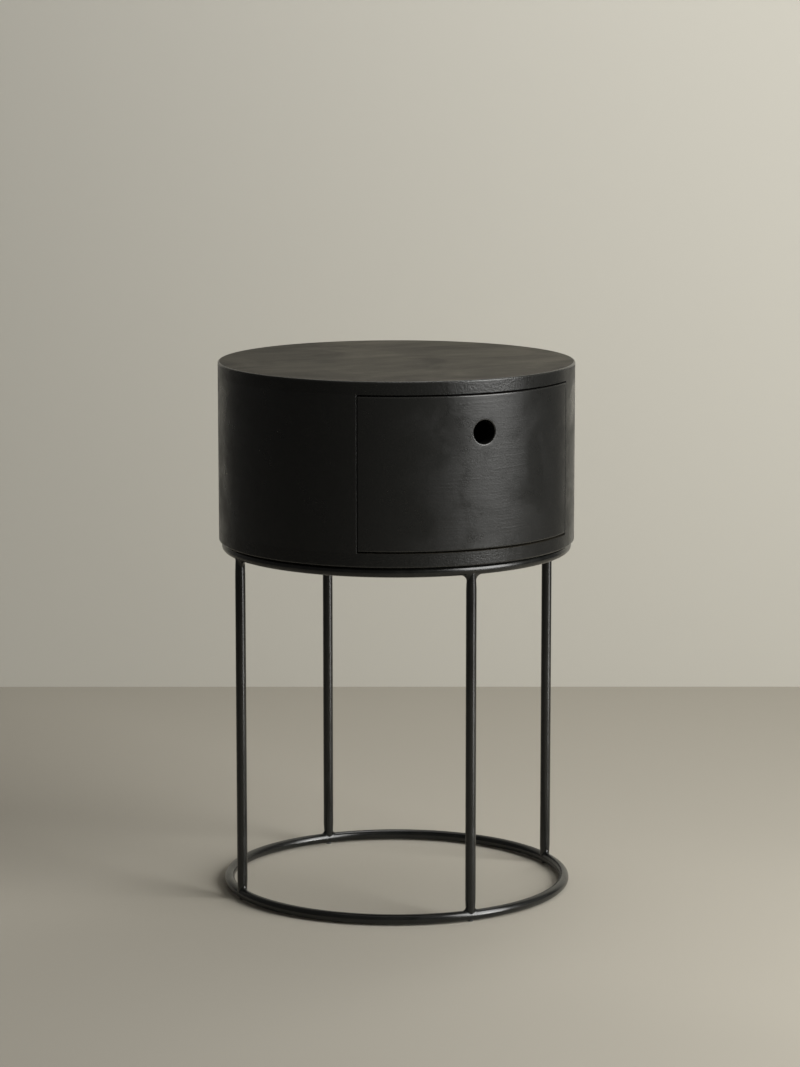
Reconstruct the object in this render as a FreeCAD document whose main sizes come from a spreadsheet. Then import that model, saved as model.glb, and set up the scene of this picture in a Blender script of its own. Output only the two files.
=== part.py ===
import FreeCAD, Part
import os
import re
import Sketcher

# Round nightstand: a wooden drum with one curved drawer, carried by a welded frame of round bar.
# Origin on the floor under the drum's axis, +Z up, the drawer opens towards -Y.

# Driving dimensions in millimetres, and two angles in degrees
SIZES = {
    # drum
    "drum_diameter": 440,
    "drum_height": 222,
    "stand_height": 438,
    "top_thickness": 16,
    "bottom_thickness": 17,
    "shell_thickness": 16,
    "edge_round": 1.5,
    # curved drawer front
    "front_width": 284,
    "front_thickness": 16,
    "front_gap": 2,
    "front_arris": 1,
    "finger_hole_diameter": 28.5,
    "finger_hole_drop": 45,
    # frame of round bar
    "rod_diameter": 12.7,
    "ring_inset": 3.5,
    "weld_radius": 6,
    "weld_cheek": 10.8,
    "frame_turn": -3.2,
    "glide_thickness": 1,
    "glide_diameter": 7,
    "glide_cup": 0.6,
    # tabs inside the upper ring, flush with its top, that the drum is screwed to
    "tab_thickness": 2.5,
    "tab_width": 32,
    "tab_reach": 38,
    "tab_seat": 2,
    "tab_corner": 6,
    "tab_screw_inset": 24,
    "tab_offset": 45,
    "frame_screw_diameter": 4.5,
    "frame_screw_length": 14,
    "frame_screw_head_diameter": 9,
    "frame_screw_head": 3,
    "frame_screw_drive": 4,
    # boards that carry the slides
    "board_thickness": 12,
    "board_inset": 5,
    "board_end_clearance": 0.5,
    # drawer box
    "side_thickness": 12,
    "side_lift": 12,
    "side_headroom": 36,
    "side_overhang": 4,
    "back_thickness": 12,
    "floor_thickness": 6,
    "floor_lift": 10,
    "floor_groove": 5,
    "groove_clearance": 0.2,
    "joint_clearance": 0.1,
    "drawer_travel": 270,
    # ball-bearing slides
    "slide_thickness": 12.7,
    "slide_height": 45,
    "slide_end_clearance": 9,
    "rail_gauge": 1.2,
    "rail_bend": 0.8,
    "ball_diameter": 3.2,
    "ball_clearance": 0.15,
    "cage_gauge": 0.7,
    "cage_end_clearance": 5,
    "run_clearance": 0.4,
    "flange_clearance": 1,
    "access_hole_diameter": 10,
    "rail_screw_diameter": 3.5,
    "rail_screw_length": 10,
    "rail_screw_head_diameter": 7,
    "rail_screw_head": 1,
    "rail_screw_drive": 3,
    # dowels of the glued joints
    "dowel_diameter": 8,
    "dowel_length": 30,
    "dowel_bite": 10,
    "peg_diameter": 6,
    "peg_length": 26,
    "peg_bite": 8,
    "peg_margin": 30,
    # fit of pegs and screws in their holes, and how far a cutter runs past the solid
    "fit_clearance": 0.05,
    "end_clearance": 0.5,
    "overrun": 2,
}

# Sizes that follow from the driving dimensions. Heights are above the floor.
DERIVED = {
    # drum and drawer front
    "drum_radius": "drum_diameter / 2",
    "shell_inner": "drum_radius - shell_thickness",
    "front_inner": "drum_radius - front_thickness",
    "shell_bottom": "stand_height + bottom_thickness",
    "shell_top": "stand_height + drum_height - top_thickness",
    "shell_height": "shell_top - shell_bottom",
    "front_half_angle": "asin(front_width / drum_diameter) / 1deg",
    "opening_half_angle": "front_half_angle + 2 * asin(front_gap / drum_diameter) / 1deg",
    "front_bottom": "shell_bottom + front_gap",
    "front_height": "shell_height - 2 * front_gap",
    "finger_hole_rise": "front_height - finger_hole_drop",
    # frame
    "rod_radius": "rod_diameter / 2",
    "ring_radius": "drum_radius - ring_inset - rod_radius",
    "upper_ring_height": "stand_height - rod_radius",
    "lower_ring_height": "glide_thickness + rod_radius",
    "weld_reach": "rod_radius + weld_radius",
    "tab_underside": "stand_height - tab_thickness",
    "tab_screw_radius": "ring_radius - tab_screw_inset",
    # boards, measured from the drum's middle plane
    "board_face": "shell_inner * sin(opening_half_angle) - board_inset",
    "board_back": "board_face + board_thickness",
    "board_reach": "drum_radius - max(shell_thickness; front_thickness) - board_end_clearance",
    "board_peg_at": "sqrt(board_reach^2 - board_back^2) - peg_margin",
    # drawer box
    "slide_half": "sqrt(board_reach^2 - board_face^2) - slide_end_clearance",
    "side_face": "board_face - slide_thickness",
    "side_inside": "side_face - side_thickness",
    "side_bottom": "shell_bottom + side_lift",
    "side_height": "shell_height - side_lift - side_headroom",
    "side_middle": "side_bottom + side_height / 2",
    "back_face": "slide_half + side_overhang",
    "back_inside": "back_face - back_thickness",
    "floor_bottom": "side_bottom + floor_lift",
    "side_centre": "side_inside + side_thickness / 2",
    "front_joint": "sqrt(front_inner^2 - side_centre^2)",
    # slides: half heights, and depths counted from the board towards the drawer
    "raceway": "ball_diameter + 2 * ball_clearance",
    "outer_half": "slide_height / 2",
    "middle_half": "outer_half - rail_gauge - raceway",
    "inner_half": "middle_half - rail_gauge - raceway",
    "outer_cage_at": "rail_gauge + rail_screw_head + run_clearance",
    "middle_at": "outer_cage_at + cage_gauge + run_clearance",
    "inner_cage_at": "middle_at + rail_gauge + run_clearance",
    "inner_at": "inner_cage_at + cage_gauge + run_clearance",
    "inner_web_at": "slide_thickness - rail_gauge",
    "flange_end": "slide_thickness - flange_clearance",
    "outer_ball_at": "(middle_at + flange_end) / 2",
    "inner_ball_at": "(inner_at + flange_end) / 2",
    "outer_ball_rise": "outer_half - rail_gauge - raceway / 2",
    "inner_ball_rise": "middle_half - rail_gauge - raceway / 2",
    "cage_half": "slide_half - drawer_travel / 4 - cage_end_clearance",
}

# Counts, and places given as shares of the piece that they are on
LEG_NAMES = ("leg_front", "leg_right", "leg_back", "leg_left")
TAB_COUNT = 4
SHELL_DOWEL_COUNT = 6
BALLS_IN_A_ROW = 6
DRIVE_SIDES = 6
QUARTER_TURN = 90
RAIL_SCREW_SHARES = (-0.84, 0.06, 0.84)
ACCESS_HOLE_SHARES = (-0.55, 0.55)
FRONT_DOWEL_SHARES = (0.25, 0.55, 0.85)
BACK_PEG_SHARES = (0.3, 0.6, 0.85)
DRIVE_DEPTH_SHARE = 0.6
SIDES = {"left": -1, "right": 1}

doc = FreeCAD.newDocument("round_nightstand")
sheet = doc.addObject("Spreadsheet::Sheet", "Sizes")
for row, (alias, size) in enumerate(SIZES.items(), start=1):
    sheet.set(f"A{row}", alias)
    sheet.set(f"B{row}", str(size))
    sheet.setAlias(f"B{row}", alias)
doc.recompute()

UPRIGHT = FreeCAD.Rotation()
ALONG_X = FreeCAD.Rotation(FreeCAD.Vector(0, 1, 0), QUARTER_TURN)
AGAINST_X = FreeCAD.Rotation(FreeCAD.Vector(0, 1, 0), -QUARTER_TURN)
ALONG_Y = FreeCAD.Rotation(FreeCAD.Vector(1, 0, 0), -QUARTER_TURN)
FACING_FRONT = FreeCAD.Rotation(FreeCAD.Vector(0, 0, 1), -QUARTER_TURN)
FACING_BACK = FreeCAD.Rotation(FreeCAD.Vector(0, 0, 1), QUARTER_TURN)
TOUCHING = 0.01

nodes = {}


def formula(text):
    """Return the text with each size's name written as the sheet's or the derived set's own."""

    def qualified(match):
        name = match.group(0)
        if name in SIZES:
            return f"Sizes.{name}"
        if name in DERIVED:
            return f"Derived.{name}"
        return name

    return re.sub(r"[A-Za-z_]\w*", qualified, text)


derived = doc.addObject("App::VarSet", "Derived")
for name, text in DERIVED.items():
    derived.addProperty("App::PropertyFloat", name)
    derived.setExpression(name, formula(text))
doc.recompute()


def number(text):
    """Return what a formula comes to."""
    return float(sheet.evalExpression(formula(text)))


def bind(feature, **formulas):
    """Tie a feature's properties to formulas of the named sizes."""
    for name, text in formulas.items():
        feature.setExpression(name, formula(text))
    return feature


def place(feature, x="0", y="0", z="0", rotation=UPRIGHT):
    """Turn a feature, and tie its own origin to a point given by formulas."""
    feature.Placement = FreeCAD.Placement(FreeCAD.Vector(), rotation)
    for axis, text in (("x", x), ("y", y), ("z", z)):
        feature.setExpression(f"Placement.Base.{axis}", formula(text))
    return feature


def turned(feature, angle):
    """Turn a finished feature about the drum's axis, from the front towards +X."""
    feature.Placement = FreeCAD.Placement(FreeCAD.Vector(), FACING_BACK)
    feature.setExpression("Placement.Rotation.Angle", formula(angle))
    return feature


def polar(radius, angle):
    """Return x and y of a point at a radius and an angle from the front towards +X."""
    return f"({radius}) * sin({angle})", f"-({radius}) * cos({angle})"


def box(name, x, y, z):
    """Make a block between pairs of formulas for its lowest and highest x, y and z."""
    block = doc.addObject("Part::Box", name)
    spans = [f"({high}) - ({low})" for low, high in (x, y, z)]
    bind(block, Length=spans[0], Width=spans[1], Height=spans[2])
    return place(block, x[0], y[0], z[0])


def cylinder(name, radius, height, x="0", y="0", z="0", rotation=UPRIGHT):
    """Make a round bar from a point along its own axis."""
    bar = doc.addObject("Part::Cylinder", name)
    bind(bar, Radius=radius, Height=height)
    return place(bar, x, y, z, rotation)


def torus(name, ring_radius, bar_radius, x="0", y="0", z="0"):
    """Make a level ring of round bar."""
    ring = doc.addObject("Part::Torus", name)
    bind(ring, Radius1=ring_radius, Radius2=bar_radius)
    return place(ring, x, y, z)


def group(name, members):
    """Keep separate solids together under one name."""
    together = doc.addObject("Part::Compound", name)
    together.Links = members
    return together


def cut(name, base, *tools):
    """Take one or more tools away from a base."""
    result = doc.addObject("Part::Cut", name)
    result.Base = base
    result.Tool = tools[0] if len(tools) == 1 else group(f"{name}_tools", list(tools))
    return result


def common(name, first, second):
    """Keep what two solids share."""
    result = doc.addObject("Part::Common", name)
    result.Base = first
    result.Tool = second
    return result


def fuse(name, *members):
    """Join solids into one."""
    result = doc.addObject("Part::MultiFuse", name)
    result.Shapes = list(members)
    return result


def rounded(name, base, radii):
    """Round the edges of a solid that each test in a list of (radius, test) picks."""
    doc.recompute()
    result = doc.addObject("Part::Fillet", name)
    result.Base = base
    edges = []
    for radius, wanted in radii:
        size = number(radius)
        edges += [(i, size, size) for i, edge in enumerate(base.Shape.Edges, start=1) if wanted(edge)]
    result.Edges = edges
    return result


def node(feature):
    """List a finished piece under its label."""
    nodes[feature.Label] = feature
    return feature


def same(edge, coordinate, text):
    """Say whether an edge keeps one coordinate at what a formula comes to."""
    level = number(text)
    return all(abs(getattr(point, coordinate) - level) < TOUCHING for point in edge.discretize(3))


def on_radius(edge, text):
    """Say whether an edge stays at one distance from its own body's upright axis."""
    radius = number(text)
    return all(abs(FreeCAD.Vector(p.x, p.y, 0).Length - radius) < TOUCHING for p in edge.discretize(5))


def upright(edge):
    """Say whether an edge runs straight up."""
    start, end = edge.Vertexes[0].Point, edge.Vertexes[-1].Point
    return (end - start).Length > TOUCHING and abs(end.x - start.x) + abs(end.y - start.y) < TOUCHING


def sketch(body, role, name):
    """Start an outline on one of a body's own middle planes."""
    plane = next(item for item in body.Origin.OriginFeatures if item.Role == role)
    outline = body.newObject("Sketcher::SketchObject", name)
    outline.AttachmentSupport = [(plane, "")]
    outline.MapMode = "FlatFace"
    return outline


def dimension(outline, kind, *place_and_size):
    """Add a dimension to an outline, with its size tied to a formula."""
    *where, text = place_and_size
    index = outline.addConstraint(Sketcher.Constraint(kind, *where, number(text)))
    outline.setExpression(f"Constraints[{index}]", formula(text))


def rectangle(outline, near, far, high):
    """Draw a rectangle that stands on the level axis, between two distances from the upright one."""
    left, right, top = number(near), number(far), number(high)
    corners = [(left, 0), (right, 0), (right, top), (left, top)]
    for i, corner in enumerate(corners):
        start = FreeCAD.Vector(*corner, 0)
        end = FreeCAD.Vector(*corners[(i + 1) % len(corners)], 0)
        outline.addGeometry(Part.LineSegment(start, end))
    for i in range(len(corners)):
        outline.addConstraint(Sketcher.Constraint("Coincident", i, 2, (i + 1) % len(corners), 1))
        outline.addConstraint(Sketcher.Constraint("Vertical" if i % 2 else "Horizontal", i))
    outline.addConstraint(Sketcher.Constraint("PointOnObject", 0, 1, -1))
    dimension(outline, "DistanceX", -1, 1, 0, 1, near)
    dimension(outline, "DistanceX", -1, 1, 0, 2, far)
    dimension(outline, "DistanceY", -1, 1, 2, 1, high)


def disc(name, thickness, rounded_face):
    """Make a round panel whose outer edge is eased on its top or bottom face."""
    body = doc.addObject("PartDesign::Body", f"{name}_blank")
    outline = sketch(body, "XY_Plane", f"{name}_outline")
    outline.addGeometry(Part.Circle(FreeCAD.Vector(), FreeCAD.Vector(0, 0, 1), number("drum_radius")))
    outline.addConstraint(Sketcher.Constraint("Coincident", 0, 3, -1, 1))
    dimension(outline, "Radius", 0, "drum_radius")
    pad = body.newObject("PartDesign::Pad", f"{name}_pad")
    pad.Profile = outline
    bind(pad, Length=thickness)
    doc.recompute()
    rims = [f"Edge{i}" for i, edge in enumerate(pad.Shape.Edges, start=1) if same(edge, "z", rounded_face)]
    ease = body.newObject("PartDesign::Fillet", f"{name}_edge")
    ease.Base = (pad, rims)
    bind(ease, Radius="edge_round")
    return body


def curved_wall(name, inner_radius, height, angle):
    """Make a body with an upright curved wall, centred on its own X axis."""
    body = doc.addObject("PartDesign::Body", f"{name}_blank")
    section = sketch(body, "XZ_Plane", f"{name}_section")
    rectangle(section, inner_radius, "drum_radius", height)
    wall = body.newObject("PartDesign::Revolution", f"{name}_wall")
    wall.Profile = section
    wall.ReferenceAxis = (section, ["V_Axis"])
    wall.Midplane = True
    bind(wall, Angle=angle)
    doc.recompute()
    return body, wall


def ease_edges(body, feature, radius, wanted):
    """Round the edges of a body's last feature that a test picks."""
    names = [f"Edge{i}" for i, edge in enumerate(feature.Shape.Edges, start=1) if wanted(edge)]
    ease = body.newObject("PartDesign::Fillet", f"{body.Name}_ease")
    ease.Base = (feature, names)
    bind(ease, Radius=radius)
    return ease


def pegs(name, diameter, length, places, axis="z"):
    """Make a set of dowels that start at places and run along an axis. Return the holes for them."""
    rotation = {"x": ALONG_X, "y": ALONG_Y, "z": UPRIGHT}[axis]
    solids, holes = [], []
    for i, (x, y, z) in enumerate(places):
        solids.append(cylinder(f"{name}_{i}", f"{diameter} / 2", length, x, y, z, rotation))
        start = {"x": x, "y": y, "z": z}
        start[axis] = f"{start[axis]} - end_clearance"
        holes.append(cylinder(f"{name}_hole_{i}", f"{diameter} / 2 + fit_clearance",
                              f"{length} + 2 * end_clearance", rotation=rotation, **start))
    node(group(name, solids))
    return group(f"{name}_holes", holes)


def screw_blank(name, diameter, length, head_diameter, head, drive):
    """Make a screw that points up from its head's seat, and the socket for its driver."""
    shank = cylinder(f"{name}_shank", f"{diameter} / 2", length)
    cap = cylinder(f"{name}_cap", f"{head_diameter} / 2", head, z=f"-{head}")
    socket = doc.addObject("Part::Prism", f"{name}_socket")
    socket.Polygon = DRIVE_SIDES
    depth = f"{head} * {DRIVE_DEPTH_SHARE} + overrun"
    bind(socket, Circumradius=f"{drive} / 2", Height=depth)
    place(socket, z=f"-{head} - overrun")
    return fuse(f"{name}_blank", shank, cap), socket


def frame_pieces():
    """Make the rings, the legs with their welds, and the pads on the floor. Return the upper ring."""
    upper = node(torus("upper_ring", "ring_radius", "rod_radius", z="upper_ring_height"))
    lower = node(torus("lower_ring", "ring_radius", "rod_radius", z="lower_ring_height"))
    rings = group("rings", [upper, lower])

    # One leg in front of the drum's axis, from the middle of one ring to the middle of the other
    span = "upper_ring_height - lower_ring_height"
    rod = cylinder("leg_rod", "rod_radius", span, y="-ring_radius", z="lower_ring_height")
    welds = []
    ends = {"lower": ("lower_ring_height + weld_reach", "lower_ring_height"),
            "upper": ("upper_ring_height - weld_reach", "upper_ring_height - weld_reach")}
    for end, (tip, foot) in ends.items():
        flare = cylinder(f"weld_{end}_bar", "weld_reach", "weld_reach", y="-ring_radius", z=foot)
        hollow = torus(f"weld_{end}_hollow", "weld_reach", "weld_radius", y="-ring_radius", z=tip)
        cheeks = box(f"weld_{end}_cheeks", ("-weld_reach", "weld_reach"),
                     ("-ring_radius - weld_cheek / 2", "-ring_radius + weld_cheek / 2"),
                     (foot, f"{foot} + weld_reach"))
        welds.append(common(f"weld_{end}", cut(f"weld_{end}_flare", flare, hollow), cheeks))
    blank = fuse("leg_blank", rod, *welds)
    for i, name in enumerate(LEG_NAMES):
        node(turned(cut(name, blank, rings), f"frame_turn + {i * QUARTER_TURN}"))

    pad = cylinder("glide_blank", "glide_diameter / 2", "glide_thickness + glide_cup", y="-ring_radius")
    pads = []
    for i in range(len(LEG_NAMES)):
        pads.append(turned(cut(f"glide_{i + 1}", pad, lower), f"frame_turn + {i * QUARTER_TURN}"))
    node(group("floor_glides", pads))
    return upper


def tabs_and_screws(ring):
    """Make the tabs that hold the drum on the upper ring, their screws, and the holes for them."""
    plate = box("tab_plate", ("-tab_width / 2", "tab_width / 2"),
                ("-ring_radius + tab_seat", "-ring_radius + tab_reach"), ("tab_underside", "stand_height"))

    def inner_corner(edge):
        return upright(edge) and same(edge, "y", "-ring_radius + tab_reach")

    plate = rounded("tab_rounded", plate, [("tab_corner", inner_corner)])
    hole_radius = "frame_screw_diameter / 2 + fit_clearance"
    hole = cylinder("tab_hole", hole_radius, "tab_thickness + 2 * overrun", y="-tab_screw_radius",
                    z="tab_underside - overrun")
    blank, socket = screw_blank("frame_screw", "frame_screw_diameter", "frame_screw_length",
                                "frame_screw_head_diameter", "frame_screw_head", "frame_screw_drive")
    screws, holes = [], []
    for i in range(TAB_COUNT):
        angle = f"frame_turn + tab_offset + {i * QUARTER_TURN}"
        node(turned(cut(f"mounting_tab_{i + 1}", plate, hole, ring), angle))
        x, y = polar("tab_screw_radius", angle)
        screws.append(place(cut(f"frame_screw_{i + 1}", blank, socket), x, y, "tab_underside"))
        holes.append(cylinder(f"frame_screw_hole_{i + 1}", hole_radius, "frame_screw_length + end_clearance",
                              x, y, "tab_underside"))
    node(group("frame_screws", screws))
    return group("frame_screw_holes", holes)


def shell_dowels(name, height):
    """Make the dowels round one edge of the drum's wall, and their holes."""
    places = []
    for i in range(SHELL_DOWEL_COUNT):
        share = (i + 0.5) / SHELL_DOWEL_COUNT
        angle = f"(opening_half_angle + (180 - opening_half_angle) * {2 * share})"
        x, y = polar("drum_radius - shell_thickness / 2", angle)
        places.append((x, y, height))
    return pegs(name, "dowel_diameter", "dowel_length", places)


def board_pegs():
    """Make the small dowels at the upper and lower edges of the slide boards, and their holes."""
    places = []
    for sign in SIDES.values():
        for along in ("-board_peg_at", "board_peg_at"):
            x = f"{sign} * (board_face + board_thickness / 2)"
            places.append((x, along, "shell_bottom - peg_bite"))
            places.append((x, along, "shell_top + peg_bite - peg_length"))
    return pegs("board_dowels", "peg_diameter", "peg_length", places)


def drum_pieces(frame_holes, board_holes):
    """Make the drum's top, floor and curved wall."""
    top_holes = shell_dowels("top_dowels", "shell_top + dowel_bite - dowel_length")
    bottom_holes = shell_dowels("bottom_dowels", "shell_bottom - dowel_bite")

    top = place(disc("top_panel", "top_thickness", "top_thickness"), z="shell_top")
    node(cut("top_panel", top, top_holes, board_holes))
    bottom = place(disc("bottom_panel", "bottom_thickness", "0"), z="stand_height")
    node(cut("bottom_panel", bottom, bottom_holes, board_holes, frame_holes))

    shell, wall = curved_wall("drum_shell", "shell_inner", "shell_height", "360 - 2 * opening_half_angle")
    ease_edges(shell, wall, "front_arris", lambda edge: upright(edge) and on_radius(edge, "drum_radius"))
    place(shell, z="shell_bottom", rotation=FACING_BACK)
    node(cut("drum_shell", shell, top_holes, bottom_holes))


def depth_span(sign, near, far):
    """Return the x range of a span of depths, counted from a slide board's face towards the drawer."""
    if sign > 0:
        return f"board_face - ({far})", f"board_face - ({near})"
    return f"-board_face + ({near})", f"-board_face + ({far})"


def height_span(half):
    """Return the z range of a half height each way from the slides' middle."""
    return f"side_middle - ({half})", f"side_middle + ({half})"


def rail(name, sign, web, flange, half):
    """Make a channel of bent sheet along Y, whose flanges reach from its web's depth to another."""
    away = number(flange) > number(web)
    step = "+" if away else "-"
    web_inside = f"{web} {step} rail_gauge"

    def depths(start, end):
        return depth_span(sign, start, end) if away else depth_span(sign, end, start)

    def bend(depth, height):
        face = depth_span(sign, depth, depth)[0]
        low, high = height_span(height)
        return lambda edge: same(edge, "x", face) and (same(edge, "z", low) or same(edge, "z", high))

    blank = box(f"{name}_bar", depths(web, flange), ("-slide_half", "slide_half"), height_span(half))
    inside = box(f"{name}_hollow", depths(web_inside, f"{flange} {step} overrun"),
                 ("-slide_half - overrun", "slide_half + overrun"), height_span(f"{half} - rail_gauge"))
    channel = cut(f"{name}_channel", blank, inside)
    return rounded(f"{name}_bent", channel, [("rail_bend + rail_gauge", bend(web, half)),
                                             ("rail_bend", bend(web_inside, f"{half} - rail_gauge"))])


def cage(name, sign, web, ball_at, ball_rise):
    """Make a ball cage: a thin channel whose two arms have a hole for each ball."""
    length = ("-cage_half", "cage_half")
    blank = box(f"{name}_bar", depth_span(sign, web, "flange_end"), length,
                height_span(f"{ball_rise} + cage_gauge / 2"))
    inside = box(f"{name}_hollow", depth_span(sign, f"{web} + cage_gauge", "flange_end + overrun"),
                 ("-cage_half - overrun", "cage_half + overrun"),
                 height_span(f"{ball_rise} - cage_gauge / 2"))
    holes = []
    for i, y in enumerate(ball_row()):
        low, high = height_span(f"{ball_rise} + cage_gauge")
        holes.append(cylinder(f"{name}_hole_{i}", "ball_diameter / 2 + ball_clearance",
                              f"({high}) - ({low})", depth_span(sign, ball_at, ball_at)[0], y, low))
    return node(cut(name, blank, inside, *holes))


def ball_row():
    """Return the places of one row of balls along the slide."""
    shares = [(2 * i + 1) / BALLS_IN_A_ROW - 1 for i in range(BALLS_IN_A_ROW)]
    return [f"cage_half * {share}" for share in shares]


def balls(name, ball_at, ball_rise):
    """Make the balls in the two rows of both slides."""
    members = []
    for side, sign in SIDES.items():
        x = depth_span(sign, ball_at, ball_at)[0]
        for level, z in zip(("low", "high"), height_span(ball_rise)):
            for i, y in enumerate(ball_row()):
                ball = doc.addObject("Part::Sphere", f"{name}_{side}_{level}_{i}")
                bind(ball, Radius="ball_diameter / 2")
                members.append(place(ball, x, y, z))
    return node(group(name, members))


def rail_screws(name, seat, outwards):
    """Make the screws of the outer or inner rails, and the holes for them on each side."""
    blank, socket = screw_blank(name, "rail_screw_diameter", "rail_screw_length",
                                "rail_screw_head_diameter", "rail_screw_head", "rail_screw_drive")
    screws, holes = [], {}
    for side, sign in SIDES.items():
        rotation = ALONG_X if (sign > 0) == outwards else AGAINST_X
        back = f"{seat} + overrun" if outwards else f"{seat} - overrun"
        holes[side] = []
        for i, share in enumerate(RAIL_SCREW_SHARES):
            y = f"slide_half * {share}"
            screw = cut(f"{name}_{side}_{i}", blank, socket)
            screws.append(place(screw, depth_span(sign, seat, seat)[0], y, "side_middle", rotation))
            holes[side].append(cylinder(f"{name}_{side}_hole_{i}", "rail_screw_diameter / 2 + fit_clearance",
                                        "rail_screw_length + end_clearance + overrun",
                                        depth_span(sign, back, back)[0], y, "side_middle", rotation))
    node(group(name, screws))
    return {side: group(f"{name}_{side}_holes", members) for side, members in holes.items()}


def slides():
    """Make both ball-bearing slides, and return the screw holes in the boards and the drawer sides."""
    outer_holes = rail_screws("outer_rail_screws", "rail_gauge", True)
    inner_holes = rail_screws("inner_rail_screws", "inner_web_at", False)
    for side, sign in SIDES.items():
        outer = rail(f"slide_outer_{side}_rail", sign, "0", "flange_end", "outer_half")
        node(cut(f"slide_outer_{side}", outer, outer_holes[side]))
        middle = rail(f"slide_middle_{side}_rail", sign, "middle_at", "flange_end", "middle_half")
        access = []
        for i, share in enumerate(ACCESS_HOLE_SHARES):
            start, end = depth_span(sign, "middle_at - overrun", "middle_at + rail_gauge + overrun")
            access.append(cylinder(f"slide_middle_{side}_access_{i}", "access_hole_diameter / 2",
                                   f"({end}) - ({start})", start, f"slide_half * {share}", "side_middle",
                                   ALONG_X))
        node(cut(f"slide_middle_{side}", middle, *access))
        inner = rail(f"slide_inner_{side}_rail", sign, "slide_thickness", "inner_at", "inner_half")
        node(cut(f"slide_inner_{side}", inner, inner_holes[side]))
        cage(f"outer_ball_cage_{side}", sign, "outer_cage_at", "outer_ball_at", "outer_ball_rise")
        cage(f"inner_ball_cage_{side}", sign, "inner_cage_at", "inner_ball_at", "inner_ball_rise")
    balls("outer_balls", "outer_ball_at", "outer_ball_rise")
    balls("inner_balls", "inner_ball_at", "inner_ball_rise")
    return outer_holes, inner_holes


def slide_boards(screw_holes, peg_holes):
    """Make the two upright boards that carry the slides, with their ends scribed to the drum's wall."""
    reach = cylinder("board_scribe", "board_reach", "shell_height", z="shell_bottom")
    for side, sign in SIDES.items():
        x = depth_span(sign, "-board_thickness", "0")
        blank = box(f"runner_board_{side}_plank", x, ("-board_reach", "board_reach"),
                    ("shell_bottom", "shell_top"))
        board = common(f"runner_board_{side}_scribed", blank, reach)
        node(cut(f"runner_board_{side}", board, screw_holes[side], peg_holes))


def drawer_floor(name, room):
    """Make the drawer's floor, or with some room round it the slot that it sits in."""
    width = f"side_inside + floor_groove + {room}"
    height = ("floor_bottom", f"floor_bottom + floor_thickness + {room}")
    depth = ("-drum_radius", f"back_inside + floor_groove + {room}")
    sheet_blank = box(f"{name}_sheet", (f"-({width})", width), depth, height)
    curve = cylinder(f"{name}_curve", f"front_inner + floor_groove + {room}",
                     f"({height[1]}) - ({height[0]})", z=height[0])
    return common(name, sheet_blank, curve)


def drawer_pieces(screw_holes):
    """Make the drawer: curved front, sides, back and floor, and the dowels that hold them."""
    node(drawer_floor("drawer_bottom", "0"))
    slot = drawer_floor("drawer_bottom_slot", "groove_clearance")

    front_places, back_places = [], []
    for sign in SIDES.values():
        for share in FRONT_DOWEL_SHARES:
            front_places.append((f"{sign} * side_centre", "-front_joint - dowel_bite",
                                 f"side_bottom + side_height * {share}"))
        start = "side_inside - peg_length + peg_bite" if sign > 0 else "-side_inside - peg_bite"
        for share in BACK_PEG_SHARES:
            back_places.append((start, "back_face - back_thickness / 2",
                                f"side_bottom + side_height * {share}"))
    front_holes = pegs("front_dowels", "dowel_diameter", "dowel_length", front_places, "y")
    back_holes = pegs("back_dowels", "peg_diameter", "peg_length", back_places, "x")

    front, wall = curved_wall("drawer_front", "front_inner", "front_height", "2 * front_half_angle")
    rim = sketch(front, "YZ_Plane", "finger_hole_outline")
    hole_centre = FreeCAD.Vector(0, number("finger_hole_rise"), 0)
    rim.addGeometry(Part.Circle(hole_centre, FreeCAD.Vector(0, 0, 1), number("finger_hole_diameter / 2")))
    rim.addConstraint(Sketcher.Constraint("PointOnObject", 0, 3, -2))
    dimension(rim, "DistanceY", -1, 1, 0, 3, "finger_hole_rise")
    dimension(rim, "Radius", 0, "finger_hole_diameter / 2")
    hole = front.newObject("PartDesign::Pocket", "finger_hole")
    hole.Profile = rim
    hole.Type = "ThroughAll"
    hole.Reversed = True
    doc.recompute()
    if hole.Shape.Volume >= wall.Shape.Volume:
        raise RuntimeError("the finger hole cuts nothing")
    ease_edges(front, hole, "front_arris", lambda edge: on_radius(edge, "drum_radius"))
    place(front, z="front_bottom", rotation=FACING_FRONT)
    node(cut("drawer_front", front, slot, front_holes))

    scribe = cylinder("side_scribe", "front_inner - joint_clearance", "side_height", z="side_bottom")
    height = ("side_bottom", "side_bottom + side_height")
    for side, sign in SIDES.items():
        x = depth_span(sign, "slide_thickness", "slide_thickness + side_thickness")
        plank = box(f"drawer_side_{side}_plank", x, ("-front_inner", "back_face"), height)
        blank = common(f"drawer_side_{side}_scribed", plank, scribe)
        node(cut(f"drawer_side_{side}", blank, slot, screw_holes[side], front_holes, back_holes))
    plank = box("drawer_back_plank", ("-side_inside", "side_inside"), ("back_inside", "back_face"), height)
    node(cut("drawer_back", plank, slot, back_holes))


screw_holes_below = tabs_and_screws(frame_pieces())
peg_holes_in_boards = board_pegs()
drum_pieces(screw_holes_below, peg_holes_in_boards)
board_screw_holes, drawer_screw_holes = slides()
slide_boards(board_screw_holes, peg_holes_in_boards)
drawer_pieces(drawer_screw_holes)
doc.recompute()

for item in doc.Objects:
    if "Invalid" in item.State or "Error" in item.State:
        raise RuntimeError(f"{item.Label} failed: {item.State}")
for label, piece in nodes.items():
    if piece.Shape.isNull() or not piece.Shape.isValid() or not piece.Shape.Solids:
        raise RuntimeError(f"{label} has no valid solid")

os.makedirs("parts", exist_ok=True)
for label, piece in nodes.items():
    solids = piece.Shape.Solids
    shape = solids[0] if len(solids) == 1 else Part.makeCompound(solids)
    shape.exportStep(f"parts/{label}.step")
    print(f"{label}: {len(solids)} solid(s), {shape.Volume:.0f} mm3")
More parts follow.
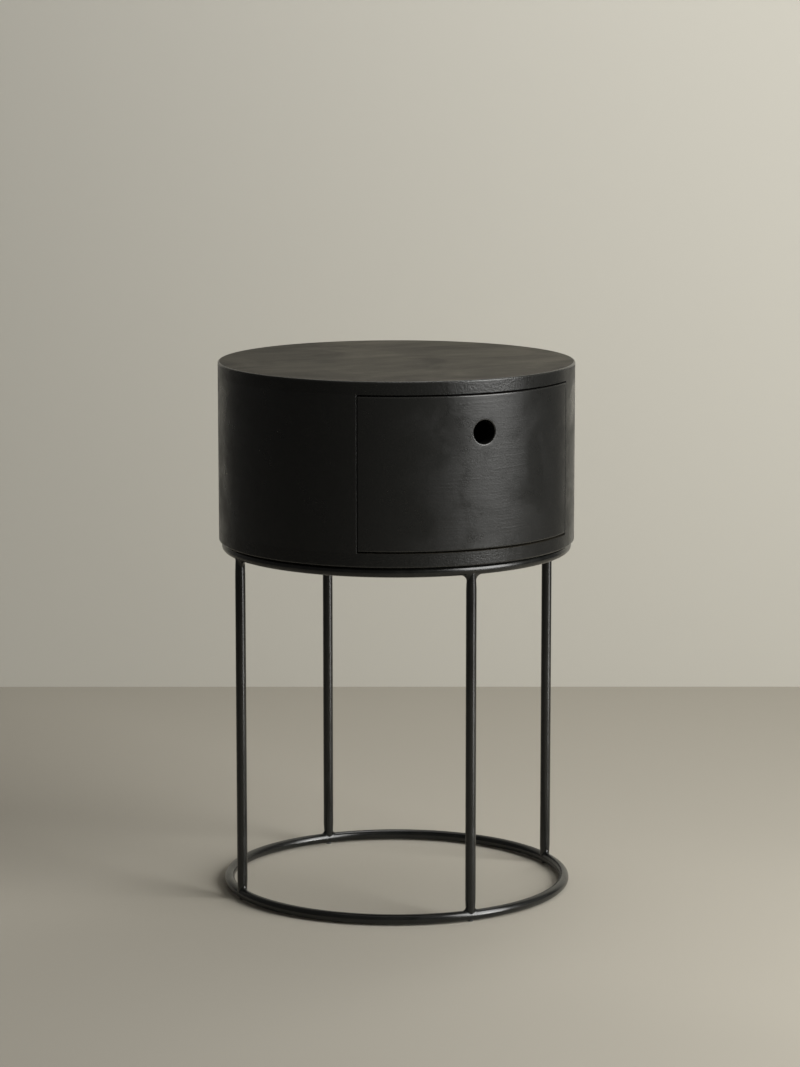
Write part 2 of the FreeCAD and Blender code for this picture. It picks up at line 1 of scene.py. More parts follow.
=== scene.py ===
"""Round nightstand: a satin black drum with one curved drawer, on a welded frame of round bar.

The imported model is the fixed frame, in metres, with the drawer opening towards -Y. Pieces with eased edges
and smooth welds stand for the parts that show most, and every other part keeps its own shape and gets a
finish.
"""

import logging
import math
from abc import ABC, abstractmethod
from dataclasses import dataclass
from enum import Enum
from typing import Iterable, Union

import bmesh
import bpy
from mathutils import Matrix, Vector

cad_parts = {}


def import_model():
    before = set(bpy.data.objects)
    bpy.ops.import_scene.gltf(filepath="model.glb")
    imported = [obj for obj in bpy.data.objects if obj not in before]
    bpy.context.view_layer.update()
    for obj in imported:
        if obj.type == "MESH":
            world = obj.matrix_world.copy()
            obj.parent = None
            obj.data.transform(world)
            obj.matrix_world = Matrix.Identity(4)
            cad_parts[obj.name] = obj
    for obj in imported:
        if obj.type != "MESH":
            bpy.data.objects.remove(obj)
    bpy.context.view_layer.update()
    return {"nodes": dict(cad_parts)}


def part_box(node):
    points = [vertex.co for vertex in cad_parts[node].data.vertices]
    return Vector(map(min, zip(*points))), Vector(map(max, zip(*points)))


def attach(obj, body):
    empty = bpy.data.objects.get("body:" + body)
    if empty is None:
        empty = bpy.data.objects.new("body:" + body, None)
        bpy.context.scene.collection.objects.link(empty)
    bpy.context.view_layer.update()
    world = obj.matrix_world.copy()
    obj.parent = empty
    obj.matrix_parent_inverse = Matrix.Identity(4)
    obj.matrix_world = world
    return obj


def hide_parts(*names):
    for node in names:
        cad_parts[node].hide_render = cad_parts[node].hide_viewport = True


LOG = logging.getLogger("round_nightstand")

Colour = tuple[float, float, float, float]
Point = tuple[float, float, float]
Feed = Union[bpy.types.NodeSocket, float, Point, Colour]

FLOAT, VECTOR = "NodeSocketFloat", "NodeSocketVector"
MERGE_DISTANCE = 1e-6
ON_PLANE = 1e-5
SMOOTH_ANGLE = math.radians(42)
# Face mark for eased edges, which the wax finish polishes smoother and lightens as a painted highlight.
POLISH_AND_HIGHLIGHT_EDGE = "polished_edge_and_painted_highlight"
FULL_TURN = 2 * math.pi
STAND_UP = Matrix.Rotation(math.pi / 2, 4, "X")
DAYLIGHT = (1.0, 0.995, 0.972)
SOFT_WHITE = (1.0, 0.99, 0.97)


class Body(Enum):
    """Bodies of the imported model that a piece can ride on."""

    CABINET = "cabinet"
    DRAWER = "drawer"


class Slot(Enum):
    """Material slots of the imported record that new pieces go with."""

    BLACK_WOOD = "black_wood"
    BLACK_STEEL = "black_steel"
    BOX_WOOD = "box_wood"


class Axis(Enum):
    """Directions along which grain or rolling marks run."""

    X = 0
    Y = 1
    Z = 2

    def stretch(self, along: float, across: float) -> Point:
        """Return the scale on X, Y and Z for some repeats in a metre along this axis and across it."""
        return tuple(along if axis is self else across for axis in Axis)


class Graph:
    """Adds nodes to one node tree and joins them."""

    def __init__(self, tree: bpy.types.NodeTree) -> None:
        """Keep the tree to work on."""
        self.tree = tree

    @classmethod
    def blank(cls, owner: Union[bpy.types.Material, bpy.types.World]) -> "Graph":
        """Empty the node tree of a material or of the world.

        Args:
            owner: What the tree belongs to.

        Returns:
            A graph that adds to it.
        """
        owner.use_nodes = True
        owner.node_tree.nodes.clear()
        return cls(owner.node_tree)

    def add(self, kind: str, options: dict[str, object] | None = None, **inputs: Feed) -> bpy.types.Node:
        """Add a node, set its options and feed its inputs.

        Args:
            kind: Blender's name for the node type.
            options: Properties of the node itself.
            inputs: Values or sockets for inputs, named with underscores for spaces.

        Returns:
            The new node.
        """
        node = self.tree.nodes.new(kind)
        for name, value in (options or {}).items():
            setattr(node, name, value)
        for name, value in inputs.items():
            self.feed(node.inputs[name.replace("_", " ")], value)
        return node

    def feed(self, socket: bpy.types.NodeSocket, value: Feed) -> None:
        """Link a socket to another one, or set its plain value.

        Args:
            socket: The input.
            value: Socket or value that it gets.
        """
        if isinstance(value, bpy.types.NodeSocket):
            self.tree.links.new(value, socket)
        else:
            socket.default_value = value

    def combine(self, kind: str, options: dict[str, object], *values: Feed) -> bpy.types.NodeSocket:
        """Add a node that makes one result of some values.

        Args:
            kind: Blender's name for the node type.
            options: Properties of the node itself.
            values: Values or sockets for the inputs that it then uses, in order.

        Returns:
            The result's socket.
        """
        node = self.add(kind, options)
        used = [socket for socket in node.inputs if socket.enabled]
        for socket, value in zip(used, values):
            self.feed(socket, value)
        return next(socket for socket in node.outputs if socket.enabled)

    def math(self, operation: str, *values: Feed) -> bpy.types.NodeSocket:
        """Combine plain values by Blender's name for the sum, and return the result's socket."""
        return self.combine("ShaderNodeMath", {"operation": operation}, *values)

    def vector(self, operation: str, *values: Feed) -> bpy.types.NodeSocket:
        """Combine vectors by Blender's name for the sum, and return the result's socket."""
        return self.combine("ShaderNodeVectorMath", {"operation": operation}, *values)

    def blend(self, share: Feed, first: Feed, second: Feed) -> bpy.types.NodeSocket:
        """Blend two values by the share of the second, and return the result's socket."""
        return self.combine("ShaderNodeMix", {"data_type": "FLOAT"}, share, first, second)

    def mix(self, share: Feed, first: Feed, second: Feed) -> bpy.types.NodeSocket:
        """Blend two colours by the share of the second, and return the result's socket."""
        return self.combine("ShaderNodeMix", {"data_type": "RGBA"}, share, first, second)

    def weigh(self, *parts: tuple[Feed, float]) -> bpy.types.NodeSocket:
        """Add up values, each times a weight of its own.

        Args:
            parts: Values or sockets with their weights.

        Returns:
            The sum's socket.
        """
        total: Feed = 0.0
        for value, weight in parts:
            total = self.math("MULTIPLY_ADD", value, weight, total)
        return total

    def remap(self, value: Feed, low: Feed, high: Feed, start: float = 0.0, end: float = 1.0
              ) -> bpy.types.NodeSocket:
        """Carry a value from one range to another, held at both ends.

        Args:
            value: Value or socket to carry over.
            low: Lower end of its range.
            high: Upper end of its range.
            start: Result at the lower end.
            end: Result at the upper end.

        Returns:
            The result's socket.
        """
        node = self.add("ShaderNodeMapRange", None, Value=value, From_Min=low, From_Max=high, To_Min=start,
                        To_Max=end)
        return node.outputs["Result"]

    def beyond(self, place: Feed, inner: float, outer: float) -> bpy.types.NodeSocket:
        """Return a mask that grows with the distance from the upright axis.

        Args:
            place: Socket of the coordinates.
            inner: Distance where it starts.
            outer: Distance where it is full.

        Returns:
            The mask's socket.
        """
        flat = self.vector("MULTIPLY", place, (1.0, 1.0, 0.0))
        return self.remap(self.vector("LENGTH", flat), inner, outer)


class Effects:
    """Node groups for the surface effects that several finishes share, each built once."""

    def __init__(self) -> None:
        """Build the groups."""
        self.mottle = self._mottle()
        self.streaks = self._streaks()
        self.pits = self._pits()

    @staticmethod
    def _start(name: str, inputs: dict[str, str], output: str
               ) -> tuple[Graph, bpy.types.NodeOutputs, bpy.types.NodeSocket]:
        """Start a group with named sockets.

        Args:
            name: Name of the group.
            inputs: Socket type of each input, by name.
            output: Name of the value that the group puts out.

        Returns:
            A graph that adds to the group, the sockets of what it gets, and the socket of what it puts out.
        """
        tree = bpy.data.node_groups.new(name, "ShaderNodeTree")
        for label, kind in inputs.items():
            tree.interface.new_socket(name=label, in_out="INPUT", socket_type=kind)
        tree.interface.new_socket(name=output, in_out="OUTPUT", socket_type=FLOAT)
        graph = Graph(tree)
        return graph, graph.add("NodeGroupInput").outputs, graph.add("NodeGroupOutput").inputs[output]

    def _mottle(self) -> bpy.types.NodeTree:
        """Make a group for soft cloudy patches.

        Returns:
            The group.
        """
        inputs = {"Vector": VECTOR, "Scale": FLOAT, "Low": FLOAT, "High": FLOAT}
        graph, given, mask = self._start("cloudy_mottle", inputs, "Mask")
        noise = graph.add("ShaderNodeTexNoise", None, Vector=given["Vector"], Scale=given["Scale"],
                          Detail=5.0, Roughness=0.58, Distortion=0.7)
        graph.feed(mask, graph.remap(noise.outputs["Fac"], given["Low"], given["High"]))
        return graph.tree

    def _streaks(self) -> bpy.types.NodeTree:
        """Make a group for long thin marks that wander a little, such as grain or rubbing.

        Returns:
            The group.
        """
        inputs = {"Vector": VECTOR, "Stretch": VECTOR, "Wander": FLOAT, "Bends": FLOAT, "Low": FLOAT,
                  "High": FLOAT}
        graph, given, mask = self._start("long_streaks", inputs, "Mask")
        bend = graph.add("ShaderNodeTexNoise", None, Vector=given["Vector"], Scale=given["Bends"], Detail=2.0)
        centred = graph.vector("SUBTRACT", bend.outputs["Color"], (0.5, 0.5, 0.5))
        bent = graph.vector("ADD", given["Vector"], graph.vector("MULTIPLY", centred, given["Wander"]))
        lines = graph.add("ShaderNodeTexNoise", None, Vector=graph.vector("MULTIPLY", bent, given["Stretch"]),
                          Scale=1.0, Detail=3.0, Roughness=0.6)
        graph.feed(mask, graph.remap(lines.outputs["Fac"], given["Low"], given["High"]))
        return graph.tree

    def _pits(self) -> bpy.types.NodeTree:
        """Make a group for the fine dimples of a sprayed or moulded surface.

        Returns:
            The group.
        """
        graph, given, height = self._start("fine_pits", {"Vector": VECTOR, "Scale": FLOAT}, "Height")
        coarse = graph.add("ShaderNodeTexNoise", None, Vector=given["Vector"], Scale=given["Scale"],
                           Detail=2.0, Roughness=0.5)
        cells = graph.add("ShaderNodeTexVoronoi", {"feature": "SMOOTH_F1"}, Vector=given["Vector"],
                          Scale=given["Scale"], Smoothness=0.6)
        graph.feed(height, graph.weigh((coarse.outputs["Fac"], 1.0), (cells.outputs["Distance"], 0.5)))
        return graph.tree


@dataclass(frozen=True)
class Clouds:
    """Cloudy patches: how many in a metre, and the noise levels where they start and are full."""

    scale: float
    low: float = 0.35
    high: float = 0.65


@dataclass(frozen=True)
class Streaks:
    """Long marks: repeats in a metre along and across an axis, how far they stray and bends in a metre.

    Low and high are the noise levels where they start and are full.
    """

    along: float
    across: float
    wander: float
    bends: float
    low: float
    high: float


class Surface:
    """One material under way: its graph, its coordinates and its Principled BSDF."""

    def __init__(self, name: str, effects: Effects, shift: Point) -> None:
        """Start an empty material.

        Args:
            name: Its name.
            effects: Shared node groups.
            shift: How far its patterns are moved, in metres.
        """
        self.material = bpy.data.materials.new(name)
        self.effects = effects
        self.graph = Graph.blank(self.material)
        place = self.graph.add("ShaderNodeTexCoord").outputs["Object"]
        self.place = self.graph.add("ShaderNodeMapping", None, Vector=place, Location=shift).outputs["Vector"]
        self.shader = self.graph.add("ShaderNodeBsdfPrincipled")
        self.graph.add("ShaderNodeOutputMaterial", None, Surface=self.shader.outputs["BSDF"])

    def _effect(self, tree: bpy.types.NodeTree, **inputs: Feed) -> bpy.types.NodeSocket:
        """Place a shared group on the material's coordinates, and return the socket of what it puts out."""
        return self.graph.add("ShaderNodeGroup", {"node_tree": tree}, Vector=self.place, **inputs).outputs[0]

    def mottle(self, clouds: Clouds) -> bpy.types.NodeSocket:
        """Return a mask of cloudy patches."""
        return self._effect(self.effects.mottle, Scale=clouds.scale, Low=clouds.low, High=clouds.high)

    def streaks(self, marks: Streaks, axis: Axis) -> bpy.types.NodeSocket:
        """Return a mask of long thin marks, with an axis that they run along or across."""
        return self._effect(self.effects.streaks, Stretch=axis.stretch(marks.along, marks.across),
                            Wander=marks.wander, Bends=marks.bends, Low=marks.low, High=marks.high)

    def pits(self, scale: float) -> bpy.types.NodeSocket:
        """Return the height of fine dimples, at a number of them in a metre."""
        return self._effect(self.effects.pits, Scale=scale)

    def attribute(self, name: str) -> bpy.types.NodeSocket:
        """Return the value that a mesh holds under a name, 0 where it has none."""
        return self.graph.add("ShaderNodeAttribute", {"attribute_name": name}).outputs["Fac"]

    def set(self, **inputs: Feed) -> None:
        """Set or link inputs of the Principled BSDF, named with underscores for spaces."""
        for name, value in inputs.items():
            self.graph.feed(self.shader.inputs[name.replace("_", " ")], value)

    def bump(self, height: Feed, depth: float) -> None:
        """Give the surface a fine relief, with the depth in metres of a height of 1."""
        relief = self.graph.add("ShaderNodeBump", None, Height=height, Distance=depth, Strength=1.0)
        self.set(Normal=relief.outputs["Normal"])


@dataclass(frozen=True)
class Finish(ABC):
    """What every finish has: a name, two tones, a range of roughness and a shift of its patterns."""

    name: str
    deep: Colour
    lifted: Colour
    smooth: float
    rough: float
    shift: Point = (0.0, 0.0, 0.0)

    def material(self, effects: Effects) -> bpy.types.Material:
        """Build the finish.

        Args:
            effects: Shared node groups.

        Returns:
            The material.
        """
        surface = Surface(self.name, effects, self.shift)
        self._dress(surface)
        return surface.material

    @abstractmethod
    def _dress(self, surface: Surface) -> None:
        """Lay the finish's tones, roughness and relief on a material."""


@dataclass(frozen=True)
class RimFinish(Finish):
    """Satin black wax on the drum's curved sides, wiped on cloudy, with faint wisps and polished edges
    lightened as a painted highlight.
    """

    name: str = "black_wax_side"
    deep: Colour = (0.0034, 0.0035, 0.0031, 1.0)
    lifted: Colour = (0.0092, 0.0093, 0.0085, 1.0)
    smooth: float = 0.25
    rough: float = 0.44
    shift: Point = (2.22, 3.18, 1.74)
    gloss: float = 0.43
    # Lighter tone of the eased edges: a painted highlight that stands in for their catch-light, beside their
    # real lower roughness.
    edge: Colour = (0.0150, 0.0150, 0.0138, 1.0)
    edge_rough: float = 0.23
    clouds: Clouds = Clouds(17.0, 0.40, 0.60)
    patches: Clouds = Clouds(46.0, 0.36, 0.66)
    patch_share: float = 0.35
    wisps: Streaks = Streaks(430.0, 15.0, 0.014, 9.0, 0.45, 0.72)
    wisp_height: float = 0.5
    patch_height: float = 0.4
    pit_scale: float = 440.0
    pit_height: float = 0.6
    relief: float = 0.00010

    def _dress(self, surface: Surface) -> None:
        """Lay the wax on a material.

        Args:
            surface: The material under way.
        """
        graph = surface.graph
        clouds, patches = surface.mottle(self.clouds), surface.mottle(self.patches)
        wiped = graph.blend(self.patch_share, clouds, patches)
        # The eased edges get a smoother polish and a lighter tone, which is a painted highlight.
        polish_and_highlight = surface.attribute(POLISH_AND_HIGHLIGHT_EDGE)
        tone = graph.mix(wiped, self.lifted, self.deep)
        roughness = graph.blend(wiped, self.smooth, self.rough)
        surface.set(Base_Color=graph.mix(polish_and_highlight, tone, self.edge), Specular_IOR_Level=self.gloss,
                    Roughness=graph.blend(polish_and_highlight, roughness, self.edge_rough))
        wisps = graph.math("MULTIPLY", clouds, surface.streaks(self.wisps, Axis.Z))
        pits = surface.pits(self.pit_scale)
        height = graph.weigh((wisps, self.wisp_height), (patches, self.patch_height), (pits, self.pit_height))
        surface.bump(height, self.relief)


@dataclass(frozen=True)
class PanelFinish(Finish):
    """Thin black wax on the drum's flat faces, worn matt, wood grain showing through, lightened by painted
    warm reflection.
    """

    name: str = "black_wax_flat"
    # Brown tones lighter than the sides' wax: partly the wood showing through, partly painted warm reflection
    # of the wall on the top.
    deep: Colour = (0.0165, 0.0142, 0.0094, 1.0)
    lifted: Colour = (0.0500, 0.0425, 0.0285, 1.0)
    smooth: float = 0.54
    rough: float = 0.70
    shift: Point = (3.33, 4.77, 2.61)
    gloss: float = 0.22
    clouds: Clouds = Clouds(9.0, 0.34, 0.66)
    grain: Streaks = Streaks(6.0, 46.0, 0.03, 5.0, 0.34, 0.68)
    grain_share: float = 0.32
    pores: Streaks = Streaks(40.0, 700.0, 0.004, 9.0, 0.50, 0.68)
    pore_tone: float = 0.24
    relief: float = 0.00004

    def _dress(self, surface: Surface) -> None:
        """Lay the worn wax, with its painted warm reflection, on a material.

        Args:
            surface: The material under way.
        """
        graph = surface.graph
        worn = graph.blend(self.grain_share, surface.mottle(self.clouds), surface.streaks(self.grain, Axis.X))
        pores = surface.streaks(self.pores, Axis.X)
        tone = graph.weigh((worn, 1.0), (pores, -self.pore_tone))
        surface.set(Base_Color=graph.mix(tone, self.deep, self.lifted), Specular_IOR_Level=self.gloss,
                    Roughness=graph.blend(worn, self.rough, self.smooth))
        surface.bump(graph.math("SUBTRACT", 1.0, pores), self.relief)


@dataclass(frozen=True)
class DimpledFinish(Finish):
    """An even skin with fine dimples, as moulded nylon has."""

    smooth: float = 0.42
    rough: float = 0.55
    gloss: float = 0.5
    clouds: Clouds = Clouds(80.0)
    pit_scale: float = 1400.0
    relief: float = 0.00002

    def _dress(self, surface: Surface) -> None:
        """Give a material the skin.

        Args:
            surface: The material under way.
        """
        graph, clouds = surface.graph, surface.mottle(self.clouds)
        surface.set(Base_Color=graph.mix(clouds, self.deep, self.lifted), Specular_IOR_Level=self.gloss,
                    Roughness=graph.blend(clouds, self.smooth, self.rough))
        surface.bump(surface.pits(self.pit_scale), self.relief)


@dataclass(frozen=True)
class FrameFinish(DimpledFinish):
    """Satin black paint sprayed on round steel bar."""

    name: str = "black_steel_paint"
    deep: Colour = (0.0036, 0.0038, 0.0034, 1.0)
    lifted: Colour = (0.0066, 0.0068, 0.0061, 1.0)
    smooth: float = 0.19
    rough: float = 0.27
    gloss: float = 0.46
    clouds: Clouds = Clouds(32.0)
    pit_scale: float = 520.0
    relief: float = 0.0000025


@dataclass(frozen=True)
class WoodFinish(Finish):
    """Stained or bare boards with grain along one axis."""

    smooth: float = 0.48
    rough: float = 0.66
    grain: Axis = Axis.Y
    figure: Streaks = Streaks(3.0, 60.0, 0.03, 3.0, 0.32, 0.70)
    clouds: Clouds = Clouds(9.0)
    cloud_share: float = 0.3
    pores: Streaks = Streaks(28.0, 900.0, 0.004, 8.0, 0.52, 0.66)
    pore_tone: float = 0.45
    roughest_tone: float = -0.3
    relief: float = 0.00008

    def _dress(self, surface: Surface) -> None:
        """Give a material the board's grain.

        Args:
            surface: The material under way.
        """
        graph = surface.graph
        pores = surface.streaks(self.pores, self.grain)
        figure = graph.blend(self.cloud_share, surface.streaks(self.figure, self.grain),
                             surface.mottle(self.clouds))
        tone = graph.weigh((figure, 1.0), (pores, -self.pore_tone))
        surface.set(Base_Color=graph.mix(tone, self.deep, self.lifted),
                    Roughness=graph.remap(tone, self.roughest_tone, 1.0, self.rough, self.smooth))
        surface.bump(graph.math("SUBTRACT", 1.0, pores), self.relief)


@dataclass(frozen=True)
class MetalFinish(Finish):
    """Bare or plated steel with faint rolling marks."""

    rolling: Axis = Axis.Y
    clouds: Clouds = Clouds(60.0)
    rolled: Streaks = Streaks(9.0, 900.0, 0.001, 6.0, 0.4, 0.7)
    rolled_share: float = 0.4
    relief: float = 0.00001

    def _dress(self, surface: Surface) -> None:
        """Give a material the sheen of steel.

        Args:
            surface: The material under way.
        """
        graph = surface.graph
        clouds, rolled = surface.mottle(self.clouds), surface.streaks(self.rolled, self.rolling)
        tone = graph.blend(self.rolled_share, clouds, rolled)
        surface.set(Metallic=1.0, Base_Color=graph.mix(clouds, self.deep, self.lifted),
                    Roughness=graph.blend(tone, self.smooth, self.rough))
        surface.bump(rolled, self.relief)


@dataclass(frozen=True)
class Finishes:
    """Every material of the nightstand."""

    rim: bpy.types.Material
    band: bpy.types.Material
    panel: bpy.types.Material
    frame: bpy.types.Material
    box_side: bpy.types.Material
    box_back: bpy.types.Material
    dowel: bpy.types.Material
    zinc: bpy.types.Material
    ball: bpy.types.Material
    cage: bpy.types.Material
    glide: bpy.types.Material

    @classmethod
    def build(cls) -> "Finishes":
        """Build each material once.

        Returns:
            The set.
        """
        effects = Effects()
        stain = (0.022, 0.016, 0.012, 1.0), (0.062, 0.046, 0.036, 1.0)
        beech = (0.40, 0.26, 0.15, 1.0), (0.62, 0.45, 0.29, 1.0)
        plate = (0.50, 0.51, 0.53, 1.0), (0.66, 0.67, 0.69, 1.0)
        bright = (0.68, 0.68, 0.70, 1.0), (0.78, 0.78, 0.79, 1.0)
        grey = (0.075, 0.075, 0.08, 1.0), (0.12, 0.12, 0.125, 1.0)
        black = (0.035, 0.035, 0.035, 1.0), (0.06, 0.06, 0.06, 1.0)
        finishes = {
            "rim": RimFinish(),
            "band": RimFinish("black_wax_band", gloss=0.37, pit_scale=400.0, pit_height=2.4),
            "panel": PanelFinish(),
            "frame": FrameFinish(),
            "box_side": WoodFinish("stained_board_lengthways", *stain, grain=Axis.Y),
            "box_back": WoodFinish("stained_board_crossways", *stain, grain=Axis.X),
            "dowel": WoodFinish("bare_beech", *beech, grain=Axis.Z),
            "zinc": MetalFinish("zinc_plate", *plate, smooth=0.26, rough=0.42),
            "ball": MetalFinish("polished_steel", *bright, smooth=0.07, rough=0.14),
            "cage": DimpledFinish("cage_nylon_grey", *grey),
            "glide": DimpledFinish("glide_nylon_black", *black),
        }
        return cls(**{name: finish.material(effects) for name, finish in finishes.items()})


def place_object(name: str, data: bpy.types.ID) -> bpy.types.Object:
    """Put a mesh, lamp or camera in the scene.

    Args:
        name: Name of its object.
        data: The mesh, lamp or camera.

    Returns:
        The new object, at the origin.
    """
    made = bpy.data.objects.new(name, data)
    bpy.context.scene.collection.objects.link(made)
    return made


def settle(name: str, mesh: bmesh.types.BMesh, *materials: bpy.types.Material) -> bpy.types.Object:
    """Make an object of a shape.

    Args:
        name: Name of the object and its mesh.
        mesh: The shape, in place.
        materials: Its finishes, in the order that its faces count them.

    Returns:
        The new object.
    """
    data = bpy.data.meshes.new(name)
    mesh.to_mesh(data)
    mesh.free()
    for material in materials:
        data.materials.append(material)
    return place_object(name, data)


@dataclass(frozen=True)
class Piece:
    """What a new piece is called, rides on and stands for, and the record's material slot that goes with it.
    """

    name: str
    body: Body
    slot: Slot
    stands_for: str

    def hand_over(self, mesh: bmesh.types.BMesh, *materials: bpy.types.Material) -> None:
        """Close a mesh, make it an object at the origin and tie it to the frame.

        Args:
            mesh: The shape, in place.
            materials: Its finishes, in the order that its faces count them.
        """
        bmesh.ops.remove_doubles(mesh, verts=mesh.verts[:], dist=MERGE_DISTANCE)
        bmesh.ops.recalc_face_normals(mesh, faces=mesh.faces[:])
        made = settle(self.name, mesh, *materials)
        made.data.shade_smooth()
        made.data.set_sharp_from_angle(angle=SMOOTH_ANGLE)
        even = made.modifiers.new("even_normals", "WEIGHTED_NORMAL")
        even.keep_sharp = True
        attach(made, self.body.value)
        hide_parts(self.stands_for)
        LOG.info("%s: %d faces on %s", self.name, len(made.data.polygons), self.body.value)


def ease(mesh: bmesh.types.BMesh, edges: Iterable[bmesh.types.BMEdge], width: float, rows: int) -> None:
    """Round some edges of a mesh, and mark the rounding as polished edge that the wax finish also lightens as
    a painted highlight.

    Args:
        mesh: The mesh.
        edges: Edges to round.
        width: How far the rounding reaches from each edge.
        rows: Faces across the rounding.
    """
    layers = mesh.faces.layers.float
    # This mark carries both the smoother polish and the painted highlight of the eased edges.
    worn = layers.get(POLISH_AND_HIGHLIGHT_EDGE) or layers.new(POLISH_AND_HIGHLIGHT_EDGE)
    rounded = bmesh.ops.bevel(mesh, geom=list(edges), offset=width, offset_type="OFFSET", segments=rows,
                              profile=0.5, affect="EDGES", material=-1, clamp_overlap=True)
    for face in rounded["faces"]:
        face[worn] = 1.0


def level_edges(mesh: bmesh.types.BMesh, height: float) -> list[bmesh.types.BMEdge]:
    """Return the edges whose two ends are at one height."""
    return [edge for edge in mesh.edges if all(abs(v.co.z - height) < ON_PLANE for v in edge.verts)]


@dataclass(frozen=True)
class Drum:
    """Top, floor and curved wall of the drum."""

    radius: float
    floor_low: float
    floor_high: float
    top_low: float
    top_high: float
    wall_thickness: float = 0.016
    edge_round: float = 0.0020
    edge_rows: int = 5
    opening_arris: float = 0.0007
    arris_rows: int = 3
    opening_half_angle: float = math.radians(40.72)
    steps: int = 300

    @classmethod
    def from_frame(cls) -> "Drum":
        """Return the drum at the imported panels' places."""
        floor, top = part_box("bottom_panel"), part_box("top_panel")
        return cls(top[1].x, floor[0].z, floor[1].z, top[0].z, top[1].z)

    def _disc(self, low: float, high: float, rounded_at: float) -> bmesh.types.BMesh:
        """Make a round panel with one eased rim, whose flat faces count as its second finish.

        Args:
            low: Height of its underside.
            high: Height of its upper face.
            rounded_at: Height of the face whose rim is eased.

        Returns:
            The mesh.
        """
        mesh = bmesh.new()
        bmesh.ops.create_circle(mesh, cap_ends=True, radius=self.radius, segments=self.steps,
                                matrix=Matrix.Translation((0, 0, low)))
        raised = bmesh.ops.extrude_face_region(mesh, geom=mesh.faces[:])["geom"]
        upper = [item for item in raised if isinstance(item, bmesh.types.BMVert)]
        bmesh.ops.translate(mesh, verts=upper, vec=(0, 0, high - low))
        ease(mesh, level_edges(mesh, rounded_at), self.edge_round, self.edge_rows)
        sill = [edge for edge in level_edges(mesh, low + high - rounded_at)
                if all(abs(math.atan2(v.co.x, -v.co.y)) < self.opening_half_angle for v in edge.verts)]
        ease(mesh, sill, self.opening_arris, self.arris_rows)
        for face in mesh.faces:
            face.material_index = int(face.calc_area() > self.radius ** 2)
        return mesh

    def _wall(self) -> bmesh.types.BMesh:
        """Make the curved wall, open in front, with eased ends.

        Returns:
            The mesh.
        """
        mesh = bmesh.new()
        inner = self.radius - self.wall_thickness
        section = [(inner, self.floor_high), (self.radius, self.floor_high), (self.radius, self.top_low),
                   (inner, self.top_low)]
        corners = [mesh.verts.new((0, -reach, height)) for reach, height in section]
        outline = [mesh.edges.new((corners[i - 1], corners[i])) for i in range(len(corners))]
        bmesh.ops.rotate(mesh, verts=corners, matrix=Matrix.Rotation(self.opening_half_angle, 3, "Z"))
        bmesh.ops.spin(mesh, geom=corners + outline, cent=(0, 0, 0), axis=(0, 0, 1), dvec=(0, 0, 0),
                       angle=FULL_TURN - 2 * self.opening_half_angle, steps=self.steps)
        ends = [edge for edge in mesh.edges if edge.is_boundary]
        bmesh.ops.holes_fill(mesh, edges=ends, sides=len(section))
        bmesh.ops.recalc_face_normals(mesh, faces=mesh.faces[:])
        outer = [edge for edge in ends if all(v.co.xy.length > self.radius - ON_PLANE for v in edge.verts)]
        ease(mesh, outer, self.opening_arris, self.arris_rows)
        return mesh

    def build(self, finishes: Finishes) -> None:
        """Make the three pieces.

        Args:
            finishes: The nightstand's materials.
        """
        top = self._disc(self.top_low, self.top_high, self.top_high)
        floor = self._disc(self.floor_low, self.floor_high, self.floor_low)
        for name, node, disc in (("drum_top", "top_panel", top), ("drum_floor", "bottom_panel", floor)):
            panel = Piece(name, Body.CABINET, Slot.BLACK_WOOD, node)
            panel.hand_over(disc, finishes.band, finishes.panel)
        wall = Piece("drum_wall", Body.CABINET, Slot.BLACK_WOOD, "drum_shell")
        wall.hand_over(self._wall(), finishes.rim)


